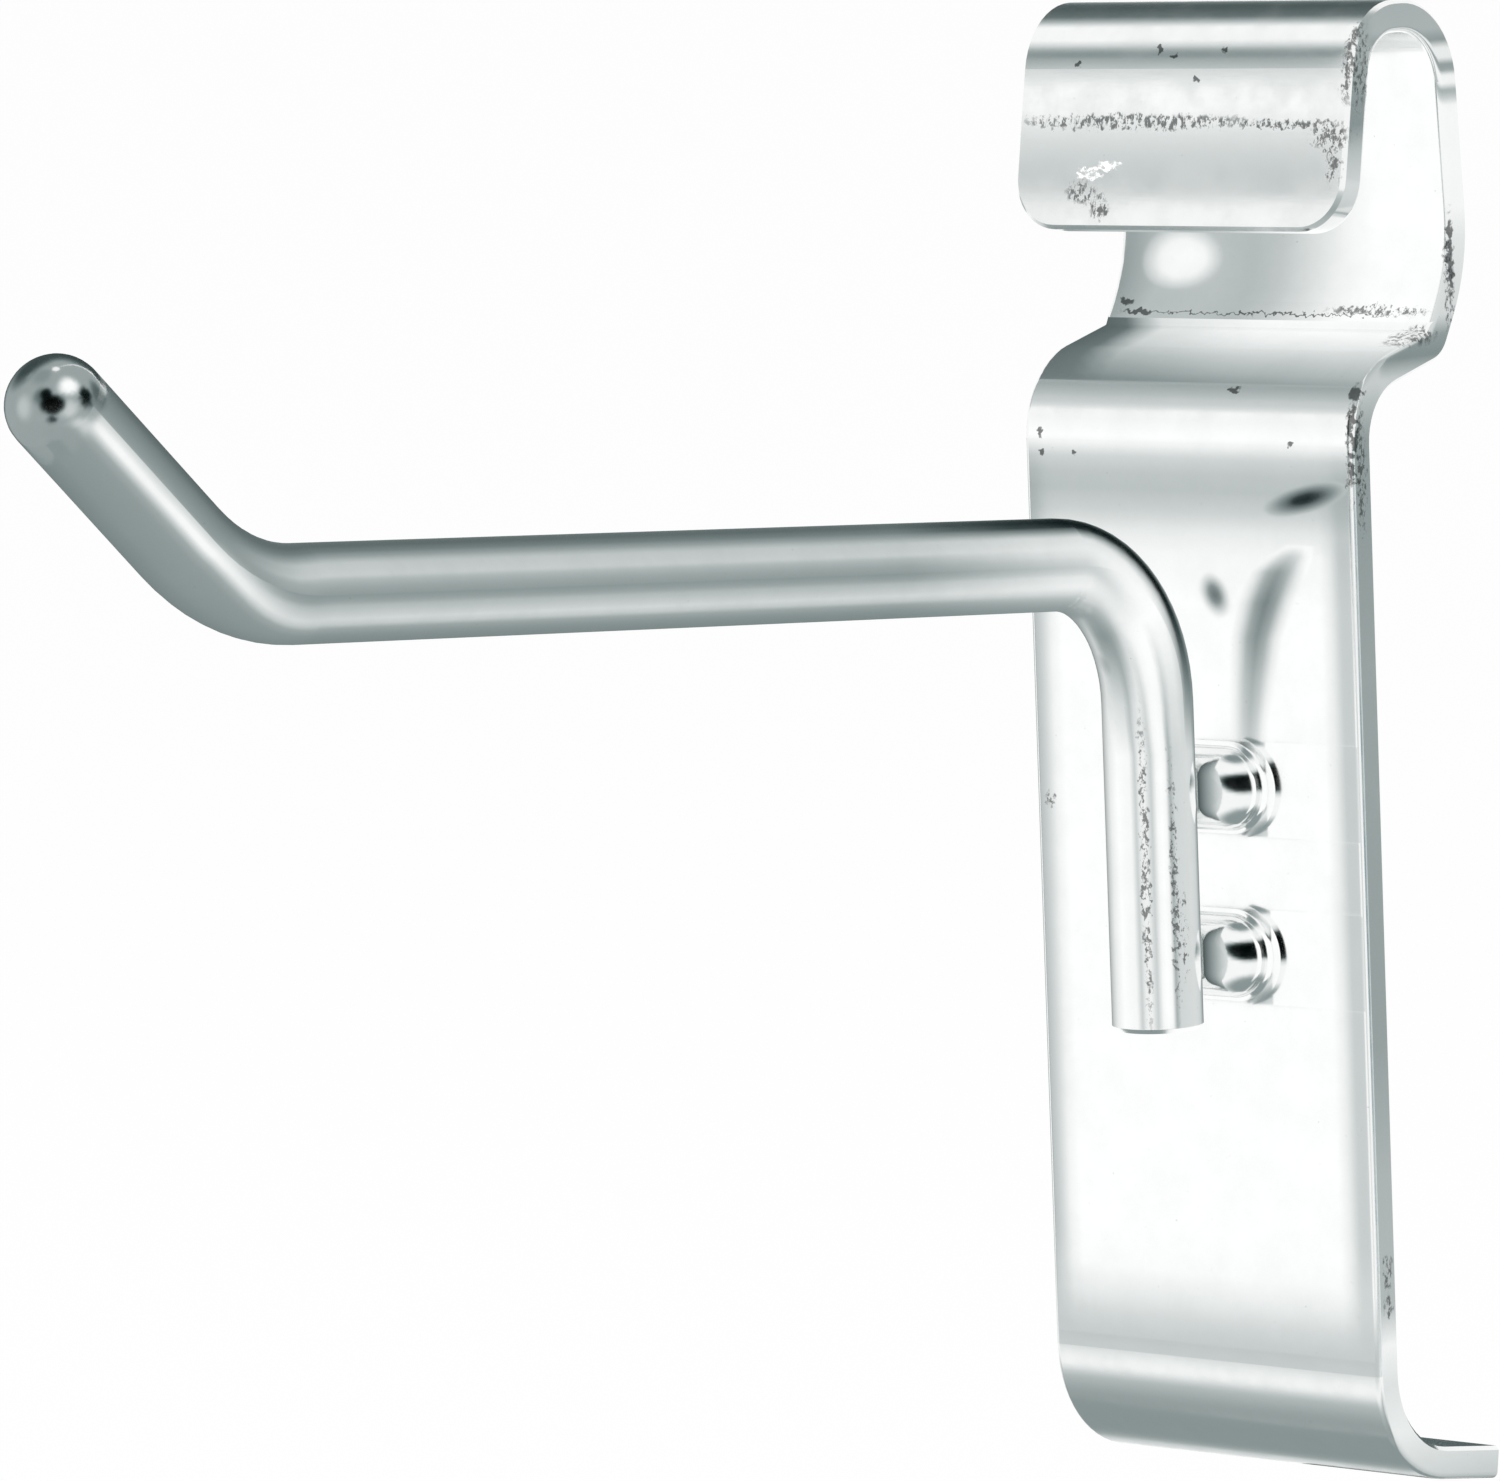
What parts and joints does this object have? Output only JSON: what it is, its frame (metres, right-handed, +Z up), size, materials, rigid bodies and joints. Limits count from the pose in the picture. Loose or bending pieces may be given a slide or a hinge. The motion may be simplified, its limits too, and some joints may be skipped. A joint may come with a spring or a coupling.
{
  "type": "gridwall hook",
  "caption": "Chrome-plated gridwall hook: a folded strip loops over a grid wire and carries a welded round-wire arm with an upturned rounded end.",
  "frame": {"origin": "axis of the horizontal grid wire that the loop hangs on, at the middle of the strip's width", "axes": "+X along the grid wire, -Y out towards the customer along the arm, +Z up, as it hangs"},
  "size_m": [0.0254, 0.1118, 0.0914],
  "materials": {
    "plated_strip": "bright plated, lightly specked and scratched",
    "plated_wire": "bright plated, with fine drawing lines"
  },
  "bodies": {
    "root": {"back_plate": "plated_strip", "hook_wire": "plated_wire"}
  },
  "joints": []
}
